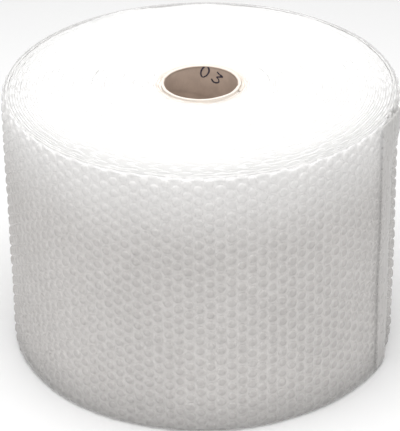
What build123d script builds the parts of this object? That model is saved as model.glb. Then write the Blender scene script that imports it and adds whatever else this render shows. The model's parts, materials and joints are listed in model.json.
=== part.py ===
"""A roll of bubble wrap on a cardboard core, standing on one end.

The row frame: +Z runs up the core's axis from the end the roll stands on, the
origin is on that axis at the bottom, and -Y is the side that faces forward.
"""
from build123d import *

import os
from math import cos, radians, sin

# ---------------------------------------------------------------- dimensions
web_width = 300.0            # width of the film web, so the roll's height
roll_radius = 212.0          # mean outside radius of the wound web
web_thickness = 4.0          # one web: a flat film and its bubbles, unloaded
core_bore_radius = 38.5      # a 3 inch core, 77 mm inside
core_wall = 3.5              # wall of the spirally wound cardboard tube
cut_bevel = 0.8              # the worn inner edge at each cut end of the core
end_rounding = 7.0           # soft outer corners, where the web's edges splay
tail_angle = -24.0           # where the web's free end lies, degrees from +X

core_outer_radius = core_bore_radius + core_wall

# The last turn is a spiral that climbs by one web thickness. It is made of
# four quarter turns, whose centres sit on the corners of a small square.
quarter_climb = web_thickness / 4
first_radius = roll_radius - web_thickness / 2 + quarter_climb / 2
corner_reach = quarter_climb / 2
corners = [
    (-corner_reach, corner_reach),
    (-corner_reach, -corner_reach),
    (corner_reach, -corner_reach),
    (corner_reach, corner_reach),
]

os.makedirs("parts", exist_ok=True)

# ------------------------------------------------------------------ the core
# A plain tube. Its bore takes a dispenser's spindle, and its ends are sawn
# square, level with the edges of the web.
with BuildPart() as core_tube:
    with BuildSketch(Plane.XY):
        Circle(core_outer_radius)
        Circle(core_bore_radius, mode=Mode.SUBTRACT)
    extrude(amount=web_width)
    bore_edges = core_tube.edges().filter_by(GeomType.CIRCLE).sort_by(SortBy.RADIUS)[:2]
    chamfer(bore_edges, length=cut_bevel)

# ----------------------------------------------------------- the wound turns
# Every turn of the web as one solid, down to the core. Each quarter turn is
# revolved about its own centre, and the faces where they meet are flush. The
# step of one web thickness that is left is the free end of the last turn.
with BuildPart() as bubble_film:
    tail_frame = Plane.XY.rotated((0, 0, tail_angle))
    for quarter, corner in enumerate(corners):
        start_angle = radians(tail_angle + 90 * quarter)
        outward = Vector(cos(start_angle), sin(start_angle), 0)
        centre = tail_frame.from_local_coords(Vector(corner[0], corner[1], 0))
        with BuildSketch(Plane(origin=centre, x_dir=outward, z_dir=outward.cross(Vector(0, 0, 1)))):
            quarter_radius = first_radius + quarter * quarter_climb
            section = Rectangle(quarter_radius, web_width, align=(Align.MIN, Align.MIN))
            fillet(section.vertices().group_by(Axis.X)[-1], radius=end_rounding)
        revolve(axis=Axis(centre, (0, 0, 1)), revolution_arc=90)
    with BuildSketch(Plane.XY):
        Circle(core_outer_radius)
    extrude(amount=web_width, mode=Mode.SUBTRACT)

core_tube.part.label = "core_tube"
bubble_film.part.label = "bubble_film"
export_step(core_tube.part, "parts/core_tube.step")
export_step(bubble_film.part, "parts/bubble_film.step")
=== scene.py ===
"""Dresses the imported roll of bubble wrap: its film, its cardboard core and a pen mark.

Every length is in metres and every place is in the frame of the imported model: +Z up
the core's axis, the floor at z = 0 and -Y towards the front.
"""
import json
import logging
import math
from dataclasses import dataclass, field
from enum import Enum
from typing import Any

import bpy
import numpy as np
from mathutils import Matrix, Vector


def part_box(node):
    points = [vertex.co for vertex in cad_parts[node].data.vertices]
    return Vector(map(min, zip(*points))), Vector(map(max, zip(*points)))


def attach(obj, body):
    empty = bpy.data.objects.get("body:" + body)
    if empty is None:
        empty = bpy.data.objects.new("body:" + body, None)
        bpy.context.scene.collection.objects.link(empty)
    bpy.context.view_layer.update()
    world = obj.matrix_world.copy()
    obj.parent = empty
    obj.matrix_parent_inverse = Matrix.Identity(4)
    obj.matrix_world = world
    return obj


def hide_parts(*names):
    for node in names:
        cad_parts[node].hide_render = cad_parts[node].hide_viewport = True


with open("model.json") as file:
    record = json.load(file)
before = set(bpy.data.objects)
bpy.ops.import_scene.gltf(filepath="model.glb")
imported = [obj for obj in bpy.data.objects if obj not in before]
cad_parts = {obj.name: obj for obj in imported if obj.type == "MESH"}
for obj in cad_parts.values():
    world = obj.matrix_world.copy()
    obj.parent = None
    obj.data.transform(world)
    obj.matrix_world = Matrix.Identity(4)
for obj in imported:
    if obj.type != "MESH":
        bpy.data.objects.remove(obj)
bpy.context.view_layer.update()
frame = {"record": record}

LOG = logging.getLogger("bubble_wrap_roll")
MM = 0.001
FULL_TURN = 2 * math.pi
ROLL_BODY = "root"


class RollEnd(Enum):
    """Which end of the roll a piece closes. The value is the side it faces."""

    TOP = 1
    BOTTOM = -1


# ------------------------------------------------------------------ shader maths
class Signal:
    """One number carried by a node's output, with Python's arithmetic."""

    def __init__(self, graph: "ShaderGraph", socket: bpy.types.NodeSocket) -> None:
        """Wraps an output socket.

        Args:
            graph: the node tree that the socket is in.
            socket: the output that carries the number.
        """
        self.graph = graph
        self.socket = socket

    def _with(self, operation: str, first: Any, second: Any) -> "Signal":
        """Adds a Math node of the given operation on two numbers or signals."""
        return self.graph.node("ShaderNodeMath", {"operation": operation}, {0: first, 1: second})

    def __add__(self, other: Any) -> "Signal":
        """self + other."""
        return self._with("ADD", self, other)

    def __radd__(self, other: Any) -> "Signal":
        """other + self."""
        return self._with("ADD", other, self)

    def __sub__(self, other: Any) -> "Signal":
        """self - other."""
        return self._with("SUBTRACT", self, other)

    def __rsub__(self, other: Any) -> "Signal":
        """other - self."""
        return self._with("SUBTRACT", other, self)

    def __mul__(self, other: Any) -> "Signal":
        """self * other."""
        return self._with("MULTIPLY", self, other)

    def __rmul__(self, other: Any) -> "Signal":
        """other * self."""
        return self._with("MULTIPLY", other, self)

    def __truediv__(self, other: Any) -> "Signal":
        """self / other."""
        return self._with("DIVIDE", self, other)

    def __rtruediv__(self, other: Any) -> "Signal":
        """other / self."""
        return self._with("DIVIDE", other, self)

    def __pow__(self, other: Any) -> "Signal":
        """self ** other."""
        return self._with("POWER", self, other)

    def smooth(self, low: float, high: float) -> "Signal":
        """A smooth step from 0 at low to 1 at high."""
        settings = {"interpolation_type": "SMOOTHSTEP"}
        inputs = {"Value": self, "From Min": low, "From Max": high}
        return self.graph.node("ShaderNodeMapRange", settings, inputs)


class ShaderGraph:
    """The node tree of one material."""

    def __init__(self, name: str) -> None:
        """Makes an empty material of that name.

        Args:
            name: the material's name.
        """
        self.material = bpy.data.materials.new(name)
        self.material.use_nodes = True
        self.tree = self.material.node_tree
        self.tree.nodes.clear()

    def node(self, kind: str, settings: dict[str, Any] | None = None,
             inputs: dict[Any, Any] | None = None, output: Any = 0) -> Signal:
        """Adds a node.

        Args:
            kind: the node's Blender type name.
            settings: its own properties, set before its sockets.
            inputs: a value or a Signal for each socket, by name or by index.
            output: which output to return.

        Returns:
            The chosen output as a Signal, which is empty on a node with no output.
        """
        made = self.tree.nodes.new(kind)
        for key, value in (settings or {}).items():
            setattr(made, key, value)
        for key, value in (inputs or {}).items():
            if isinstance(value, Signal):
                self.tree.links.new(value.socket, made.inputs[key])
            else:
                made.inputs[key].default_value = value
        return Signal(self, made.outputs[output] if made.outputs else None)

    def place(self) -> Signal:
        """The point's own place on the object, in metres."""
        return self.node("ShaderNodeTexCoord", output="Object")

    def level(self) -> Signal:
        """The point's own height over the floor, in metres."""
        return self.node("ShaderNodeSeparateXYZ", None, {"Vector": self.place()}, "Z")

    def stretched(self, scale: tuple[float, float, float]) -> Signal:
        """The point's place with each axis scaled."""
        settings = {"vector_type": "POINT"}
        return self.node("ShaderNodeMapping", settings, {"Vector": self.place(), "Scale": scale})

    def noise(self, scale: float, detail: float = 2.0, vector: Signal | None = None) -> Signal:
        """Fractal noise from 0 to 1 with that many features a metre."""
        inputs = {"Vector": vector or self.place(), "Scale": scale, "Detail": detail}
        return self.node("ShaderNodeTexNoise", None, inputs, "Fac")

    def stored(self, name: str) -> Signal:
        """A number that the mesh stores at its vertices."""
        return self.node("ShaderNodeAttribute", {"attribute_name": name}, None, "Fac")

    def blend(self, first: Any, second: Any, share: Signal) -> Signal:
        """A colour that goes from first to second as share goes from 0 to 1."""
        settings = {"data_type": "RGBA"}
        inputs = {0: share, 6: first, 7: second}
        return self.node("ShaderNodeMix", settings, inputs, 2)

    def bump(self, height: Signal, distance: float, strength: float) -> Signal:
        """A normal bent by a relief whose full height is distance."""
        inputs = {"Strength": strength, "Distance": distance, "Height": height}
        return self.node("ShaderNodeBump", None, inputs, "Normal")

    def finish(self, inputs: dict[str, Any]) -> bpy.types.Material:
        """Ends the tree in one Principled shader.

        Args:
            inputs: the shader's sockets, as values or Signals.

        Returns:
            The finished material.
        """
        shader = self.node("ShaderNodeBsdfPrincipled", None, inputs, "BSDF")
        self.node("ShaderNodeOutputMaterial", None, {"Surface": shader})
        return self.material


# ---------------------------------------------------------------------- finishes
Colour = tuple[float, float, float, float]


@dataclass(frozen=True)
class FilmFinish:
    """Clear polyethylene film, which reads as milky where layers lie on each other."""

    name: str
    bright: Colour = (0.80, 0.78, 0.765, 1.0)
    dull: Colour = (0.60, 0.582, 0.568, 1.0)
    lit: Colour = (0.97, 0.965, 0.96, 1.0)
    foot: Colour = (0.50, 0.49, 0.48, 1.0)
    shaded: Colour = (0.66, 0.66, 0.655, 1.0)
    warm: Colour = (0.78, 0.69, 0.60, 1.0)
    height: float = 300.0 * MM
    land_alpha: float = 1.0
    dome_alpha: float = 1.0
    roughness: float = 0.36
    gloss: float = 0.4
    crinkle: float = 0.25

    def material(self) -> bpy.types.Material:
        """Cloudy milky colour, uneven gloss and fine crinkles.

        The mesh stores a number called dome: 0 on the flat film between bubbles, 1 at
        a bubble's foot and on its wall, and 2 on its crown. The flat film lies on the
        layer below and is the brightest, and the crowns are painted duller: painted
        shade that stands in for the shade on the bubbles' lower sides. Light scattered
        inside the winding isn't simulated: painted light makes the film brighter, by
        height, towards the upper end, and painted shade makes it dimmer near the floor
        at the foot. The roll's ends also store a rim number, painted greyer as shade
        towards their outer edge, and a core glow, painted warmer.
        """
        graph = ShaderGraph(self.name)
        dome = graph.stored("dome")
        cloud = graph.noise(11.0, 3.0).smooth(0.3, 0.7)
        patch = graph.noise(95.0, 2.0).smooth(0.3, 0.7)
        crown = dome.smooth(0.6, 2.0)
        # Painted shade: the crowns take the dull colour, and the flat film between them stays bright.
        shade = cloud * 0.2 + patch * 0.2 + (1.0 - crown) * 0.6
        colour = graph.blend(self.dull, self.bright, shade)
        level = graph.level()
        # Painted light: brighter towards the upper end.
        near_top = level.smooth(self.height - 0.11, self.height) ** 1.3
        # Painted shade: dimmer near the floor.
        near_foot = 1.0 - level.smooth(0.0, 0.05)
        colour = graph.blend(colour, self.lit, near_top * 0.75)
        colour = graph.blend(colour, self.foot, near_foot * 0.6)
        # Painted shade: greyer towards the outer edge of the roll's ends.
        colour = graph.blend(colour, self.shaded, graph.stored("rim") * 0.5)
        colour = graph.blend(colour, self.warm, graph.stored("core_glow") * 0.7)
        rough = self.roughness + patch * 0.12
        creases = graph.noise(1.0, 4.0, graph.stretched((420.0, 420.0, 170.0)))
        inputs = {"Base Color": colour, "Roughness": rough, "IOR": 1.5,
                  "Specular IOR Level": self.gloss,
                  "Normal": graph.bump(creases, 0.5 * MM, self.crinkle)}
        if self.land_alpha == self.dome_alpha:
            inputs["Alpha"] = self.land_alpha
        else:
            inputs["Alpha"] = self.land_alpha + crown * (self.dome_alpha - self.land_alpha)
        return graph.finish(inputs)


@dataclass(frozen=True)
class MilkFinish:
    """The depth of the winding, an opaque cloudy white that stands in for clear layers."""

    name: str
    colour: Colour = (0.90, 0.885, 0.865, 1.0)

    def material(self) -> bpy.types.Material:
        """A cloudy white."""
        graph = ShaderGraph(self.name)
        cloud = graph.noise(14.0, 3.0).smooth(0.3, 0.7)
        dimmer = tuple(0.94 * part for part in self.colour[:3]) + (1.0,)
        inputs = {"Base Color": graph.blend(dimmer, self.colour, cloud), "Roughness": 0.5}
        return graph.finish(inputs)


@dataclass(frozen=True)
class CardboardFinish:
    """Grey-brown recycled paper, wound in a spiral and glued."""

    name: str
    light: Colour = (0.62, 0.50, 0.415, 1.0)
    dark: Colour = (0.47, 0.37, 0.305, 1.0)
    deep: Colour = (0.27, 0.205, 0.165, 1.0)
    sawn: Colour = (0.76, 0.70, 0.64, 1.0)

    def material(self) -> bpy.types.Material:
        """Mottled paper with short fibres, darker in seams and in a band of painted shade just inside
        both ends, and pale on the sawn ends.
        """
        graph = ShaderGraph(self.name)
        mottle = graph.noise(70.0, 4.0).smooth(0.3, 0.72)
        fibres = graph.noise(1.0, 3.0, graph.stretched((900.0, 900.0, 260.0)))
        shade = mottle * 0.55 + fibres * 0.45
        colour = graph.blend(self.dark, self.light, shade)
        # The deep colour marks the dark seams and the painted shade band just inside both ends.
        colour = graph.blend(colour, self.deep, graph.stored("seam_and_rim_shade") * 0.65)
        colour = graph.blend(colour, self.sawn, graph.stored("sawn"))
        relief = fibres * 0.7 + mottle * 0.3
        inputs = {"Base Color": colour, "Roughness": 0.82 + fibres * 0.12,
                  "Specular IOR Level": 0.25, "Normal": graph.bump(relief, 0.25 * MM, 0.5)}
        return graph.finish(inputs)


@dataclass(frozen=True)
class InkFinish:
    """Blue-black felt pen, soaked a little unevenly into the paper."""

    name: str
    full: Colour = (0.030, 0.026, 0.045, 1.0)
    thin: Colour = (0.10, 0.085, 0.115, 1.0)

    def material(self) -> bpy.types.Material:
        """Dark ink that goes thin in patches."""
        graph = ShaderGraph(self.name)
        soak = graph.noise(420.0, 3.0).smooth(0.35, 0.75)
        inputs = {"Base Color": graph.blend(self.full, self.thin, soak), "Roughness": 0.62}
        return graph.finish(inputs)


@dataclass(frozen=True)
class FloorFinish:
    """A plain pale studio floor."""

    name: str
    colour: Colour = (0.92, 0.92, 0.92, 1.0)

    def material(self) -> bpy.types.Material:
        """Pale matt paint with a trace of unevenness."""
        graph = ShaderGraph(self.name)
        tone = graph.noise(2.0, 2.0).smooth(0.2, 0.8)
        near = tuple(0.985 * part for part in self.colour[:3]) + (1.0,)
        inputs = {"Base Color": graph.blend(near, self.colour, tone), "Roughness": 0.9,
                  "Specular IOR Level": 0.1}
        return graph.finish(inputs)


# ------------------------------------------------------------------------ meshes
def grid_faces(rows: int, columns: int, close_rows: bool = False,
               close_columns: bool = False) -> np.ndarray:
    """Quads that join a grid of points numbered row by row.

    Args:
        rows: how many rows of points.
        columns: how many points in each row.
        close_rows: whether the last row joins the first.
        close_columns: whether the last column joins the first.

    Returns:
        One line of four point numbers for each quad.
    """
    row = np.arange(rows if close_rows else rows - 1)[:, None]
    column = np.arange(columns if close_columns else columns - 1)[None, :]
    next_row = (row + 1) % rows
    next_column = (column + 1) % columns
    corners = (row * columns + column, row * columns + next_column,
               next_row * columns + next_column, next_row * columns + column)
    return np.stack([corner.ravel() for corner in corners], axis=1)


def make_piece(name: str, points: np.ndarray, faces: list[np.ndarray],
               material: bpy.types.Material,
               stored: dict[str, np.ndarray] | None = None,
               crease: float = 60.0) -> bpy.types.Object:
    """Puts a mesh of quads and triangles into the scene and lets it ride on the roll.

    Args:
        name: the piece's name.
        points: one line of x, y, z for each point.
        faces: arrays of point numbers, one array for each number of corners.
        material: the finish.
        stored: numbers kept at the points, by name.
        crease: edges that turn by more degrees than this stay sharp.

    Returns:
        The new object, at the origin and unturned.
    """
    mesh = bpy.data.meshes.new(name)
    sizes = np.concatenate([np.full(len(block), block.shape[1]) for block in faces])
    corners = np.concatenate([block.ravel() for block in faces])
    mesh.vertices.add(len(points))
    mesh.vertices.foreach_set("co", np.asarray(points, np.float32).ravel())
    mesh.loops.add(len(corners))
    mesh.loops.foreach_set("vertex_index", corners.astype(np.int32))
    mesh.polygons.add(len(sizes))
    starts = np.concatenate([[0], np.cumsum(sizes)[:-1]])
    mesh.polygons.foreach_set("loop_start", starts.astype(np.int32))
    mesh.update(calc_edges=True)
    mesh.validate()
    for key, numbers in (stored or {}).items():
        layer = mesh.attributes.new(key, "FLOAT", "POINT")
        layer.data.foreach_set("value", np.asarray(numbers, np.float32).ravel())
    mesh.polygons.foreach_set("use_smooth", np.ones(len(mesh.polygons), bool))
    mesh.set_sharp_from_angle(angle=math.radians(crease))
    mesh.materials.append(material)
    piece = bpy.data.objects.new(name, mesh)
    bpy.context.scene.collection.objects.link(piece)
    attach(piece, ROLL_BODY)
    LOG.info("%s: %d points, %d faces", name, len(points), len(sizes))
    return piece


def ripple(points: np.ndarray, wavelength: float, seed: int, waves: int = 10) -> np.ndarray:
    """A smooth random relief, mostly between -1 and 1.

    It adds sines of plane waves that cross space in random directions. Because it's
    read at the points' places in space, it has no seam where it goes round the roll.

    Args:
        points: one line of x, y, z for each point.
        wavelength: the middle of the range of wavelengths.
        seed: of the random directions and phases.
        waves: how many waves are added.

    Returns:
        One number for each point.
    """
    dice = np.random.default_rng(seed)
    directions = dice.normal(size=(waves, 3))
    directions /= np.linalg.norm(directions, axis=1, keepdims=True)
    spans = wavelength * dice.uniform(0.65, 1.6, waves)[:, None]
    phases = dice.uniform(0, FULL_TURN, waves)
    turns = points @ (directions * FULL_TURN / spans).T + phases
    return np.sin(turns).sum(axis=1) / math.sqrt(waves)


def rise(values: np.ndarray, low: float, high: float) -> np.ndarray:
    """A smooth step from 0 at low to 1 at high: 3 t^2 - 2 t^3 of the clipped share t."""
    share = np.clip((values - low) / (high - low), 0.0, 1.0)
    return share * share * (3.0 - 2.0 * share)


# ---------------------------------------------------------------------- the film
@dataclass(frozen=True)
class Winding:
    """How the web lies on the core: a spiral that climbs anticlockwise to its end."""

    height: float
    core_radius: float
    outer_radius: float
    free_end: float = math.radians(-24.0)
    web_thickness: float = 4.0 * MM
    hidden_turns: int = 59
    end_rounding: float = 4.0 * MM
    end_sag: float = 1.2 * MM
    sag_width: float = 36.0 * MM
    slack: float = 0.45 * MM

    @property
    def film_radius(self) -> float:
        """Radius of the flat film at the free end, under its own bubbles."""
        return self.outer_radius - self.web_thickness / 2

    def sag(self, radius: np.ndarray) -> np.ndarray:
        """How far the ends stand back: it grows as the square of the way to the rim."""
        share = np.clip((radius - self.outer_radius + self.sag_width) / self.sag_width, 0, 1)
        return self.end_sag * share ** 2

    def place(self, along: np.ndarray, up: np.ndarray, lift: np.ndarray) -> np.ndarray:
        """Winds flat film onto the roll.

        The angle goes back from the free end by the way along the web over the
        radius, and the radius falls by one web thickness in each turn. Near both
        ends the radius draws in along a quarter circle.

        Args:
            along: the way back from the free end, on the flat web.
            up: the place across the web, from 0 at the floor.
            lift: the height over the flat film.

        Returns:
            One line of x, y, z for each point.
        """
        angle = self.free_end - along / self.outer_radius
        fall = self.web_thickness * along / (FULL_TURN * self.outer_radius)
        from_end = np.minimum(up, self.height - up)
        depth = np.clip(1.0 - from_end / self.end_rounding, 0.0, 0.8)
        drawn_in = self.end_rounding * (1.0 - np.sqrt(1.0 - depth ** 2))
        radius = self.film_radius - fall - drawn_in + lift
        half = self.height / 2
        squeeze = 1.0 - self.end_sag * 0.8 / half * rise(np.abs(up - half), half * 0.6, half)
        level = half + (up - half) * squeeze
        flat = np.stack([radius * np.cos(angle), radius * np.sin(angle), level], axis=-1)
        loose = self.slack * ripple(flat, 0.11, seed=5)
        around = np.stack([np.cos(angle), np.sin(angle), np.zeros_like(angle)], axis=-1)
        return flat + around * loose[:, None]


@dataclass(frozen=True)
class BubbleWeb:
    """Columns of bubbles in a honeycomb, each column standing across the web."""

    winding: Winding
    rows: int = 24
    foot_share: float = 0.43
    crown_share: float = 0.25
    bubble_height: float = 2.2 * MM
    burst_length: float = 24.0 * MM
    seed: int = 11

    @property
    def pitch(self) -> float:
        """From one bubble to the next in a column."""
        return self.winding.height / self.rows

    @property
    def column_step(self) -> float:
        """From one column to the next along the web."""
        return self.pitch * math.sqrt(3) / 2

    def cells(self, first: int, last: int, sides: int, squash: float) -> dict[str, Any]:
        """Six-sided tiles of flat film, each with a bubble raised out of its middle.

        The rim of a tile is a hexagon, the foot, shoulder and crown of the bubble are
        circles inside it, and the middle closes the crown. Neighbouring tiles share
        the points of their rims. Every second column stands half a pitch higher, and
        where it runs off the web its bubbles are cut flat at the edge.

        Args:
            first: the first column, counted back from the free end.
            last: one past the last column.
            sides: points round each ring, 6 or 12.
            squash: how much of their height the bubbles keep.

        Returns:
            The places along, up and lift, the dome number, and the faces.
        """
        half = self.pitch / 2
        reach = self.pitch / math.sqrt(3)
        column, row = np.meshgrid(np.arange(first, last), np.arange(self.rows + 1), indexing="ij")
        shifted = column % 2 == 1
        keep = shifted | (row < self.rows)
        middle_along = (column * self.column_step)[keep]
        middle_up = ((row + np.where(shifted, 0.0, 0.5)) * self.pitch)[keep]
        count = len(middle_along)

        dice = np.random.default_rng(self.seed + first)
        turn = np.arange(sides) * FULL_TURN / sides
        rim = np.where(np.arange(sides) * 12 // sides % 2 == 0, reach, half)
        full = np.clip(dice.normal(0.93, 0.08, count), 0.55, 1.08)
        full = np.where(dice.random(count) < 0.03, full * dice.uniform(0.35, 0.7, count), full)
        full *= squash * (0.12 + 0.88 * rise(middle_along, 0.3 * self.burst_length,
                                             self.burst_length))
        from_edge = np.minimum(middle_up, self.winding.height - middle_up)
        full *= 0.2 + 0.8 * rise(from_edge, 0.0, 9.0 * MM)
        lean = dice.normal(0, 0.10, (2, count, 1))
        drift = dice.normal(0, 0.18 * MM, (2, count, 1))
        swell = 1.0 + dice.normal(0, 0.025, (count, 1))

        radii = [rim, self.foot_share * self.pitch, self.foot_share * self.pitch * 0.88,
                 self.crown_share * self.pitch]
        heights = [0.0, 0.03, 0.48, 0.90]
        if sides == 6:
            radii, heights = [radii[0], radii[1], radii[3]], [0.0, 0.05, 0.9]
        rings = []
        for level, (radius, height) in enumerate(zip(radii, heights)):
            grown = radius * (swell if level else 1.0)
            over = np.cos(turn) * grown + (drift[0] if level else 0.0) + middle_along[:, None]
            across = np.sin(turn) * grown + (drift[1] if level else 0.0) + middle_up[:, None]
            tilt = lean[0] * np.cos(turn) + lean[1] * np.sin(turn)
            lift = self.bubble_height * full[:, None] * height * (1.0 + tilt * (level > 1))
            rings.append((over + 0 * lift, across + 0 * lift, lift))
        tip = (middle_along + drift[0, :, 0], middle_up + drift[1, :, 0],
               self.bubble_height * full)

        rim_key = np.stack([np.rint(rings[0][0] / (reach / 4)), np.rint(rings[0][1] / (half / 2))],
                           axis=-1).reshape(-1, 2)
        _, chosen, shared = np.unique(rim_key, axis=0, return_index=True, return_inverse=True)
        shared = shared.reshape(count, sides)
        shared_count = len(chosen)
        blocks = [[part.ravel()[chosen] for part in rings[0]]]
        blocks += [[part.ravel() for part in ring] for ring in rings[1:]]
        blocks += [list(tip)]
        along, up, lift = (np.concatenate([block[axis] for block in blocks]) for axis in range(3))
        dome_levels = [0.0, 1.0, 1.0, 2.0] if sides == 12 else [0.0, 1.0, 2.0]
        dome = np.concatenate([np.full(len(block[0]), level)
                               for block, level in zip(blocks, dome_levels + [2.0])])

        numbers = [shared]
        for ring in range(1, len(rings)):
            start = shared_count + (ring - 1) * count * sides
            numbers.append(start + np.arange(count * sides).reshape(count, sides))
        tips = shared_count + (len(rings) - 1) * count * sides + np.arange(count)
        quads = [np.stack([outer, inner, np.roll(inner, -1, 1), np.roll(outer, -1, 1)], axis=-1)
                 for outer, inner in zip(numbers[:-1], numbers[1:])]
        quads = np.concatenate([block.reshape(-1, 4) for block in quads])
        last_ring = numbers[-1]
        caps = np.stack([last_ring, np.repeat(tips[:, None], sides, 1),
                         np.roll(last_ring, -1, 1)], axis=-1).reshape(-1, 3)

        up = np.clip(up, 0.0, self.winding.height)
        on_edge = (up <= 0.0) | (up >= self.winding.height)
        quads = quads[~(on_edge[quads].all(axis=1) & (lift[quads] <= 0).any(axis=1))]
        return {"along": along, "up": up, "lift": lift, "dome": dome, "faces": [quads, caps]}

    def turn(self, name: str, first: int, last: int, finish: FilmFinish, sides: int = 12,
             squash: float = 1.0) -> bpy.types.Object:
        """Makes a stretch of the web and winds it onto the roll.

        Args:
            name: the piece's name.
            first: the first column of bubbles.
            last: one past the last column.
            finish: the film's look.
            sides: points round each bubble.
            squash: how much of their height the bubbles keep.

        Returns:
            The new object.
        """
        made = self.cells(first, last, sides, squash)
        points = self.winding.place(made["along"], made["up"], made["lift"])
        return make_piece(name, points, made["faces"], finish.material(),
                          {"dome": made["dome"]}, crease=38.0)


@dataclass(frozen=True)
class EndCoil:
    """The edges of all the hidden turns, as seen on one end of the roll."""

    winding: Winding
    end: RollEnd
    step: float = 3.7 * MM
    depth: float = 2.6 * MM
    bubble_pitch: float = 12.5 * MM
    seed: int = 31

    def surface(self) -> tuple[np.ndarray, np.ndarray, dict[str, np.ndarray]]:
        """A relief that follows the spiral from the core to the last hidden turn.

        One parameter is the way along the spiral, whose radius is the square root of
        the core's radius squared plus that way times the pitch over pi. The other
        crosses one turn: up out of a valley to the flat film's edge, then over the
        cut bubbles, which swell and sink along the way, and down into the next
        valley. The edge wanders up and down, and each turn stands a little off the
        one before.

        Returns:
            The points, the quads and the stored numbers.
        """
        wind = self.winding
        start = wind.core_radius + 0.4 * MM
        stop = wind.film_radius - 1.4 * wind.web_thickness
        pitch = (stop - start) / wind.hidden_turns
        length = math.pi * (stop ** 2 - start ** 2) / pitch
        way = np.linspace(0.0, length, int(length / self.step))
        base = np.sqrt(start ** 2 + way * pitch / math.pi)
        angle = wind.free_end + FULL_TURN * (base - start) / pitch

        across = np.array([-0.02, 0.10, 0.20, 0.34, 0.60, 0.84, 1.04])
        fall = np.array([1.0, 0.08, 0.0, 0.62, 0.0, 0.25, 1.0])
        on_bubbles = np.array([0.0, 0.0, 0.0, 0.3, 1.0, 0.9, 0.0])
        dome = np.array([1.0, 1.0, 0.6, 0.5, 1.6, 1.2, 1.0])

        period = self.bubble_pitch * math.sqrt(3)
        swell = np.sin(FULL_TURN * way / period)
        dice = np.random.default_rng(self.seed + self.end.value)
        knots = np.arange(0.0, length + 0.06, 0.03)
        own_edge = np.interp(way, knots, dice.normal(0, 0.35 * MM, len(knots)))
        radius = base[:, None] + pitch * across
        bulge = np.maximum(swell, -0.35)[:, None] * on_bubbles
        drop = self.depth * fall + self.depth * (0.45 - 0.55 * bulge) * on_bubbles
        flat = np.stack([radius * np.cos(angle)[:, None], radius * np.sin(angle)[:, None],
                         np.zeros_like(radius)], axis=-1)
        wander = 0.5 * MM * ripple(flat.reshape(-1, 3), 0.05, seed=self.seed)
        stand_back = wind.sag(radius) + drop + 0.8 * MM
        stand_back = stand_back - own_edge[:, None] - wander.reshape(radius.shape)
        stand_back = np.maximum(stand_back, 0.05 * MM)
        level = wind.height - stand_back if self.end is RollEnd.TOP else stand_back
        points = np.stack([flat[..., 0], flat[..., 1], level], axis=-1).reshape(-1, 3)
        quads = grid_faces(len(way), len(across))
        if self.end is RollEnd.TOP:
            quads = quads[:, ::-1]
        # The rim number is the share of painted shade, greyer towards the outer edge of the end.
        rim = rise(radius, wind.outer_radius - 50 * MM, wind.outer_radius - 4 * MM)
        glow = 1.0 - rise(radius, wind.core_radius, wind.core_radius + 15 * MM)
        stored = {"dome": np.tile(dome, len(way)), "rim": rim.ravel(),
                  "core_glow": glow.ravel() ** 2}
        return points, quads, stored

    def build(self, name: str, finish: FilmFinish) -> bpy.types.Object:
        """Makes the piece."""
        points, quads, stored = self.surface()
        return make_piece(name, points, [quads], finish.material(), stored,
                          crease=75.0)


@dataclass(frozen=True)
class FilmBody:
    """The closed body of the winding behind the layers that can be told apart."""

    winding: Winding
    around: int = 160
    inset: float = 3.6 * MM

    def build(self, name: str, finish: MilkFinish) -> bpy.types.Object:
        """A ring turned from one closed outline of level against radius.

        Args:
            name: the piece's name.
            finish: the look.

        Returns:
            The new object.
        """
        wind = self.winding
        outer = wind.film_radius - 2.1 * wind.web_thickness
        reach = np.linspace(wind.core_radius + 0.2 * MM, outer, 14)
        top = wind.height - self.inset - wind.sag(reach)
        bottom = self.inset + wind.sag(reach)
        side = np.linspace(0.0, 1.0, 12)[1:-1]
        rising = bottom[-1] + side * (top[-1] - bottom[-1])
        sinking = top[0] + side * (bottom[0] - top[0])
        radius = np.concatenate([reach, np.full(10, outer), reach[::-1], np.full(10, reach[0])])
        level = np.concatenate([bottom, rising, top[::-1], sinking])
        angle = np.arange(self.around) * FULL_TURN / self.around
        points = np.stack([np.outer(np.cos(angle), radius), np.outer(np.sin(angle), radius),
                           np.tile(level, (self.around, 1))], axis=-1).reshape(-1, 3)
        quads = grid_faces(self.around, len(radius), close_rows=True, close_columns=True)
        return make_piece(name, points, [quads[:, ::-1]], finish.material())


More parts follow.
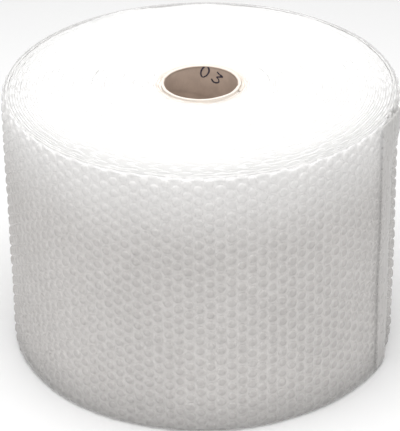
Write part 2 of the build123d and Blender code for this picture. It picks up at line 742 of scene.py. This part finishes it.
@dataclass(frozen=True)
class FreeEnd:
    """The cut end of the web: a strip of burst bubbles, creased and standing off."""

    winding: Winding
    overlap: float = 20.0 * MM
    straight_reach: float = 5.0 * MM
    corner_reach: float = 46.0 * MM
    corner_height: float = 62.0 * MM
    stand_off: float = 2.2 * MM
    columns: int = 44
    levels: int = 150

    def surface(self) -> tuple[np.ndarray, np.ndarray]:
        """A strip from inside the last bubbles to the cut.

        Across it, the way along the web runs from the overlap to the cut, which is
        straight low down and swings out towards the top corner. Its lift grows with
        the square of the way to the cut, most at the corner, and upright creases,
        sines whose phase wanders with height, deepen towards the top.

        Returns:
            The points and the quads.
        """
        wind = self.winding
        share, up_share = np.meshgrid(np.linspace(0, 1, self.columns),
                                      np.linspace(0, 1, self.levels), indexing="ij")
        up = (1.5 * MM + up_share * (wind.height - 3.0 * MM)).ravel()
        share = share.ravel()
        corner = rise(up, wind.height - self.corner_height, wind.height)
        ragged = 0.8 * MM * np.sin(up * 310.0) + 0.5 * MM * np.sin(up * 793.0 + 1.0)
        cut = -self.straight_reach - self.corner_reach * corner + ragged
        along = self.overlap + share * (cut - self.overlap)
        phase = 2.2 * np.sin(up * 21.0) + 1.1 * np.sin(up * 47.0 + 2.0)
        depth = (0.25 + 0.75 * corner) * np.sin(math.pi * np.clip(share * 1.05, 0, 1))
        crease = 0.55 * MM * depth * np.sin(along * 780.0 + phase)
        crease = crease + 0.35 * MM * depth * np.sin(along * 1370.0 - 1.7 * phase)
        lift = 0.5 * MM + 1.0 * MM * np.sin(share * math.pi / 2)
        lift = lift + self.stand_off * corner * share ** 2 + crease
        return wind.place(along, up, lift), grid_faces(self.columns, self.levels)

    def build(self, name: str, finish: FilmFinish) -> bpy.types.Object:
        """Makes the piece, as a sheet with a real thickness."""
        points, quads = self.surface()
        piece = make_piece(name, points, [quads[:, ::-1]], finish.material(),
                           {"dome": np.full(len(points), 0.8)})
        thick = piece.modifiers.new("film thickness", "SOLIDIFY")
        thick.thickness = 0.12 * MM
        thick.offset = 0.0
        return piece


# ---------------------------------------------------------------------- the core
@dataclass(frozen=True)
class CardboardCore:
    """The tube: wound paper plies, with frayed inner edges at both sawn ends."""

    bore: float
    outside: float
    height: float
    around: int = 180
    levels: int = 240
    bevel: float = 0.8 * MM
    ply_width: float = 92.0 * MM
    seam_width: float = 2.6 * MM
    seam_depth: float = 0.3
    seed: int = 71

    def outline(self) -> tuple[np.ndarray, np.ndarray]:
        """Radius and level of one closed outline of the wall, inner side first."""
        inner_level = np.linspace(self.height - self.bevel, self.bevel, self.levels)
        plies = np.linspace(0.12, 0.88, 9)
        wall = self.outside - self.bore
        end_radius = self.bore + self.bevel + plies * (wall - self.bevel)
        groove = 0.10 * MM * (np.arange(9) % 2)
        outer_level = np.linspace(0.3 * MM, self.height - 0.3 * MM, 12)
        radius = np.concatenate([np.full(self.levels, self.bore), end_radius,
                                 np.full(12, self.outside), end_radius[::-1]])
        level = np.concatenate([inner_level, 0.02 * MM + groove, outer_level,
                                self.height - 0.02 * MM - groove])
        return radius, level

    def build(self, name: str, finish: CardboardFinish) -> bpy.types.Object:
        """Turns the outline round the axis and adds the seam and the fray.

        The seam between two plies is a helix: its distance is how far the level is
        from the nearest whole ply width after one width is added for each turn. The
        bore sinks by a tenth of a millimetre where the stored number is full, as in
        the bands just inside both ends that are painted dark as shade, and by less
        along the seam itself.

        Args:
            name: the piece's name.
            finish: the look.

        Returns:
            The new object.
        """
        radius, level = self.outline()
        angle = np.arange(self.around) * FULL_TURN / self.around
        grid_angle = np.repeat(angle, len(radius))
        grid_radius = np.tile(radius, self.around)
        grid_level = np.tile(level, self.around)
        wound = grid_level / self.ply_width - grid_angle / FULL_TURN + 0.37
        away = np.abs(wound - np.rint(wound)) * self.ply_width
        on_bore = grid_radius <= self.bore + 0.01 * MM
        near_end = np.minimum(grid_level, self.height - grid_level)
        seam_and_rim_shade = self.seam_depth * (1.0 - rise(away, 0.2 * self.seam_width, self.seam_width))
        # Painted shade: a dark band on the bore just inside both ends.
        rim_shade_band = 1.0 - rise(near_end, 1.2 * MM, 3.4 * MM)
        seam_and_rim_shade = np.where(on_bore, np.maximum(seam_and_rim_shade, rim_shade_band), 0.0)
        sawn = rise(grid_radius, self.bore + 0.3 * MM, self.bore + 1.3 * MM)
        points = np.stack([grid_radius * np.cos(grid_angle), grid_radius * np.sin(grid_angle),
                           grid_level], axis=-1)
        outward = points * np.array([1.0, 1.0, 0.0]) / grid_radius[:, None]
        fray = 0.22 * MM * ripple(points, 0.009, self.seed) * (near_end < 1.2 * MM)
        points = points + outward * (0.1 * MM * seam_and_rim_shade + fray)[:, None]
        quads = grid_faces(self.around, len(radius), close_rows=True, close_columns=True)
        return make_piece(name, points, [quads[:, ::-1]], finish.material(),
                          {"seam_and_rim_shade": seam_and_rim_shade, "sawn": sawn}, crease=35.0)


@dataclass(frozen=True)
class PenStroke:
    """One stroke of a felt pen, through points given in the digit's own box."""

    knots: tuple[tuple[float, float], ...]
    closed: bool = False

    def line(self, samples: int) -> np.ndarray:
        """A smooth line through the knots: a Catmull-Rom curve.

        Between two knots, each place is the cubic whose slopes at the two are half
        of the way from the knot before to the knot after.
        """
        knots = np.array(self.knots)
        if self.closed:
            padded = np.concatenate([knots[-1:], knots, knots[:2]])
        else:
            padded = np.concatenate([2 * knots[:1] - knots[1:2], knots, 2 * knots[-1:] - knots[-2:-1]])
        spans = len(padded) - 3
        position = np.linspace(0, spans, samples)
        span = np.minimum(position.astype(int), spans - 1)
        share = (position - span)[:, None]
        before, here, after, beyond = (padded[span + step] for step in range(4))
        return 0.5 * (2 * here + (after - before) * share
                      + (2 * before - 5 * here + 4 * after - beyond) * share ** 2
                      + (3 * here - before - 3 * after + beyond) * share ** 3)


@dataclass(frozen=True)
class PenMark:
    """A two-digit number written by hand inside the core, near its upper end."""

    bore: float
    height: float
    pen_width: float = 1.7 * MM
    stand_off: float = 0.07 * MM
    samples: int = 64
    nought: PenStroke = PenStroke(((0.42, 1.02), (0.08, 0.62), (0.10, 0.22), (0.42, 0.0),
                                   (0.80, 0.28), (0.86, 0.72)), closed=True)
    three: PenStroke = PenStroke(((0.10, 0.98), (0.52, 0.95), (0.92, 0.99), (0.66, 0.76),
                                  (0.42, 0.55), (0.74, 0.50), (0.92, 0.30), (0.70, 0.06),
                                  (0.36, 0.0), (0.04, 0.12)))

    def stroke(self, pen: PenStroke, middle: tuple[float, float], size: tuple[float, float],
               turn: float) -> tuple[np.ndarray, np.ndarray]:
        """A ribbon along a pen stroke, laid on the wall of the bore.

        The stroke's box is scaled to the digit's size, turned, and moved so that its
        middle is at the given way round the wall and depth below the end. The ribbon
        has two points for each sample, half a pen's width to each side of the line.

        Args:
            pen: the stroke.
            middle: the way to the right along the wall and the depth of its middle.
            size: the digit's width and height.
            turn: how far the digit leans clockwise, in radians.

        Returns:
            The points and the quads.
        """
        line = (pen.line(self.samples) - 0.5) * np.array(size)
        cos, sin = math.cos(turn), math.sin(turn)
        line = line @ np.array([[cos, -sin], [sin, cos]])
        ahead = np.gradient(line, axis=0)
        ahead /= np.linalg.norm(ahead, axis=1, keepdims=True)
        aside = np.stack([-ahead[:, 1], ahead[:, 0]], axis=-1)
        press = 1.0 + 0.16 * np.sin(np.linspace(0, 9, self.samples))[:, None]
        sides = [line + side * 0.5 * self.pen_width * press * aside for side in (-1, 1)]
        flat = np.stack(sides, axis=1).reshape(-1, 2)
        right = flat[:, 0] + middle[0]
        level = self.height - middle[1] + flat[:, 1]
        level = np.minimum(level, self.height - 0.9 * MM)
        radius = self.bore - self.stand_off
        points = np.stack([radius * np.sin(right / self.bore), radius * np.cos(right / self.bore),
                           level], axis=-1)
        return points, grid_faces(self.samples, 2)

    def build(self, name: str, finish: InkFinish) -> bpy.types.Object:
        """Makes both digits as one piece.

        Args:
            name: the piece's name.
            finish: the ink.

        Returns:
            The new object.
        """
        lean = math.radians(33.0)
        first = self.stroke(self.nought, (4.8 * MM, 6.6 * MM), (9.6 * MM, 14.0 * MM), 0.5 * lean)
        second = self.stroke(self.three, (17.8 * MM, 12.6 * MM), (9.6 * MM, 13.0 * MM), lean)
        points = np.concatenate([first[0], second[0]])
        quads = np.concatenate([first[1], second[1] + len(first[0])])
        return make_piece(name, points, [quads], finish.material())


# -------------------------------------------------------------------- the studio
@dataclass(frozen=True)
class SoftPanel:
    """A rectangular soft light that faces a point."""

    name: str
    place: tuple[float, float, float]
    aim: tuple[float, float, float]
    width: float
    depth: float
    watts: float

    def build(self) -> bpy.types.Object:
        """Hangs the light."""
        data = bpy.data.lights.new(self.name, "AREA")
        data.shape = "RECTANGLE"
        data.size = self.width
        data.size_y = self.depth
        data.energy = self.watts
        lamp = bpy.data.objects.new(self.name, data)
        lamp.location = self.place
        toward = Vector(self.aim) - Vector(self.place)
        lamp.rotation_euler = toward.to_track_quat("-Z", "Y").to_euler()
        lamp.visible_camera = False
        bpy.context.scene.collection.objects.link(lamp)
        return lamp


@dataclass
class Studio:
    """The floor, the light and the camera."""

    roll_radius: float
    elevation: float = math.radians(29.9)
    distance_in_radii: float = 10.97
    aim_right: float = -3.0 * MM
    aim_in_radii: float = 0.652
    lens: float = 178.7
    roll: float = math.radians(-0.8)
    floor_radius: float = 9.0
    sky: float = 0.58
    floor_finish: FloorFinish = FloorFinish("pale floor")
    panels: list[SoftPanel] = field(default_factory=lambda: [
        SoftPanel("overhead", (-0.05, -0.15, 1.45), (0.0, 0.0, 0.2), 1.4, 1.4, 19.0),
        SoftPanel("front_fill", (-0.4, -2.6, 1.5), (0.0, 0.0, 0.15), 3.0, 1.2, 9.0),
    ])

    def floor(self) -> None:
        """A flat disc of rings and spokes under the roll."""
        reach = np.concatenate([[0.02], np.linspace(0.3, self.floor_radius, 24)])
        angle = np.arange(64) * FULL_TURN / 64
        points = np.stack([np.outer(reach, np.cos(angle)), np.outer(reach, np.sin(angle)),
                           np.zeros((len(reach), 64))], axis=-1).reshape(-1, 3)
        mesh = bpy.data.meshes.new("floor")
        rings = grid_faces(len(reach), 64, close_columns=True)
        middle = [list(range(64))]
        mesh.from_pydata(points.tolist(), [], rings.tolist() + middle)
        mesh.materials.append(self.floor_finish.material())
        disc = bpy.data.objects.new("floor", mesh)
        bpy.context.scene.collection.objects.link(disc)

    def light(self) -> None:
        """An even pale sky and the soft panels."""
        world = bpy.data.worlds.new("pale room")
        world.use_nodes = True
        sky = world.node_tree.nodes["Background"]
        sky.inputs["Color"].default_value = (1.0, 1.0, 1.0, 1.0)
        sky.inputs["Strength"].default_value = self.sky
        bpy.context.scene.world = world
        for panel in self.panels:
            panel.build()

    def camera(self) -> None:
        """A long lens that looks down at the front of the roll."""
        data = bpy.data.cameras.new("camera")
        data.lens = self.lens
        data.sensor_width = 36.0
        eye = bpy.data.objects.new("camera", data)
        aim = Vector((self.aim_right, 0.0, self.aim_in_radii * self.roll_radius))
        back = Vector((0.0, -math.cos(self.elevation), math.sin(self.elevation)))
        eye.location = aim + back * self.distance_in_radii * self.roll_radius
        level = (-back).to_track_quat("-Z", "Y").to_matrix()
        eye.rotation_euler = (level @ Matrix.Rotation(self.roll, 3, "Z")).to_euler()
        bpy.context.scene.collection.objects.link(eye)
        bpy.context.scene.camera = eye

    def build(self) -> None:
        """Sets up everything that isn't part of the roll."""
        bpy.context.scene.view_settings.view_transform = "Standard"
        self.camera()
        self.floor()
        self.light()


def box_size(node: str) -> Vector:
    """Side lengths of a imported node's box.

    Args:
        node: the node's name.

    Returns:
        The lengths along x, y and z.
    """
    low, high = (Vector(corner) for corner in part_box(node))
    return high - low


def main() -> None:
    """Builds the studio and every piece of the roll, in order."""
    logging.basicConfig(level=logging.INFO, format="%(message)s")
    core_size = box_size("core_tube")
    film_size = box_size("bubble_film")
    core_radius = core_size.x / 2
    winding = Winding(film_size.z, core_radius, max(film_size.x, film_size.y) / 2)
    bore = frame["record"]["mounts"][0]["dims"]["r_mm"] * MM

    Studio(winding.outer_radius).build()

    web = BubbleWeb(winding)
    per_turn = round(FULL_TURN * winding.outer_radius / web.column_step)
    outer = FilmFinish("clear outer film", land_alpha=0.58, dome_alpha=0.5)
    under = FilmFinish("milky under film")
    thirds = np.linspace(0, per_turn + 2, 4).astype(int)
    for number, (first, last) in enumerate(zip(thirds[:-1], thirds[1:]), start=1):
        web.turn(f"outer_turn_{number}", int(first), int(last), outer)
    web.turn("under_turn", per_turn + 1, 2 * per_turn + 3, under, sides=6, squash=0.8)

    body = FilmBody(winding).build("wound_body", MilkFinish("wound depth"))
    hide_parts("bubble_film")
    edges = FilmFinish("film edges", bright=(0.86, 0.855, 0.845, 1.0),
                       dull=(0.68, 0.675, 0.665, 1.0), lit=(0.90, 0.895, 0.89, 1.0),
                       roughness=0.45, gloss=0.25)
    EndCoil(winding, RollEnd.TOP).build("top_edges", edges)
    EndCoil(winding, RollEnd.BOTTOM, step=5.2 * MM).build("bottom_edges", edges)
    # The burst film's darker colours are painted shade along the lifted free end.
    shaded_burst = FilmFinish("shaded burst film", bright=(0.66, 0.64, 0.625, 1.0), dull=(0.46, 0.445, 0.43, 1.0),
                       lit=(0.66, 0.65, 0.635, 1.0), land_alpha=0.82, dome_alpha=0.82,
                       roughness=0.24)
    FreeEnd(winding).build("free_end", shaded_burst)

    core = CardboardCore(bore, core_radius, core_size.z).build("cardboard_core",
                                                               CardboardFinish("grey cardboard"))
    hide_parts("core_tube")
    PenMark(bore, core_size.z).build("pen_mark", InkFinish("pen ink"))


if __name__ == "__main__":
    main()
